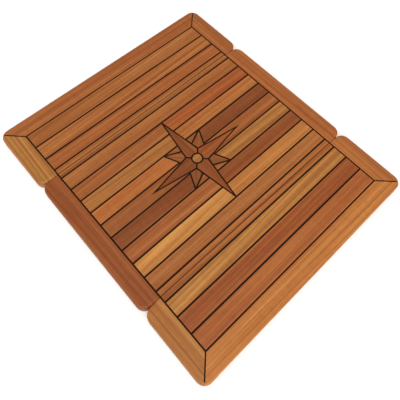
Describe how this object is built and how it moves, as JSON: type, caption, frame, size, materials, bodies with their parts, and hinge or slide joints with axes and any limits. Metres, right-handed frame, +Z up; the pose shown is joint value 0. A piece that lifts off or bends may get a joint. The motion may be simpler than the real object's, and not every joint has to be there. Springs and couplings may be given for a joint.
{
  "type": "folding teak mat",
  "caption": "Rigid folding teak mat with two hinged leaves, black-seamed planks, mitred border boards and a compass star inlay.",
  "frame": {"origin": "on the floor under the middle of the open mat", "axes": "+X across the planks towards the right leaf, +Y along the planks to the far side, +Z up"},
  "size_m": [0.841, 0.726, 0.0396],
  "materials": {
    "caulking": "black polymer seam compound, sanded flush",
    "foot_rubber": "black moulded rubber",
    "hinge_steel": "stainless steel, brushed",
    "plywood": "sealed marine plywood",
    "teak_amber": "oiled, fine sanded teak",
    "teak_copper": "oiled, fine sanded teak",
    "teak_golden": "oiled, fine sanded teak",
    "teak_honey": "oiled, fine sanded teak",
    "teak_russet": "oiled, fine sanded teak",
    "teak_umber": "oiled, fine sanded teak"
  },
  "bodies": {
    "centre": {"centre_base": "plywood", "centre_caulking": "caulking", "centre_foot_left": "foot_rubber", "centre_foot_right": "foot_rubber", "centre_side_board_far": "teak_copper", "centre_side_board_near": "teak_russet", "centre_strip_left": "teak_amber", "centre_strip_right": "teak_amber", "left_hinge_centre_plate": "hinge_steel", "left_hinge_pin": "hinge_steel", "plank_1": "teak_amber", "plank_2_far": "teak_russet", "plank_2_near": "teak_copper", "plank_3_far": "teak_amber", "plank_3_near": "teak_honey", "plank_4_far": "teak_umber", "plank_4_near": "teak_amber", "plank_5_far": "teak_copper", "plank_5_near": "teak_copper", "plank_6_far": "teak_golden", "plank_6_near": "teak_umber", "plank_7_far": "teak_russet", "plank_7_near": "teak_copper", "plank_8_far": "teak_honey", "plank_8_near": "teak_golden", "plank_9": "teak_amber", "right_hinge_centre_plate": "hinge_steel", "right_hinge_pin": "hinge_steel", "star_disc": "teak_honey", "star_point_east": "teak_russet", "star_point_north": "teak_russet", "star_point_south": "teak_russet", "star_point_west": "teak_russet", "star_ray_north_east": "teak_copper", "star_ray_north_west": "teak_copper", "star_ray_south_east": "teak_copper", "star_ray_south_west": "teak_copper"},
    "left_leaf": {"left_base": "plywood", "left_caulking": "caulking", "left_end_board": "teak_copper", "left_hinge_leaf_plate": "hinge_steel", "left_leaf_foot": "foot_rubber", "left_plank_1": "teak_copper", "left_plank_2": "teak_amber", "left_plank_3": "teak_amber", "left_side_board_far": "teak_copper", "left_side_board_near": "teak_golden", "left_strip": "teak_amber"},
    "right_leaf": {"right_base": "plywood", "right_caulking": "caulking", "right_end_board": "teak_honey", "right_hinge_leaf_plate": "hinge_steel", "right_leaf_foot": "foot_rubber", "right_plank_1": "teak_golden", "right_plank_2": "teak_russet", "right_plank_3": "teak_copper", "right_side_board_far": "teak_amber", "right_side_board_near": "teak_honey", "right_strip": "teak_amber"}
  },
  "joints": [
    {"name": "left_leaf_fold", "type": "hinge", "parent": "centre", "child": "left_leaf", "pos_m": [-0.2115, 0, 0.0046], "axis": [0, -1, 0], "range_deg": [0, 180]},
    {"name": "right_leaf_fold", "type": "hinge", "parent": "centre", "child": "right_leaf", "pos_m": [0.2115, 0, 0.0046], "axis": [0, 1, 0], "range_deg": [0, 180]}
  ]
}
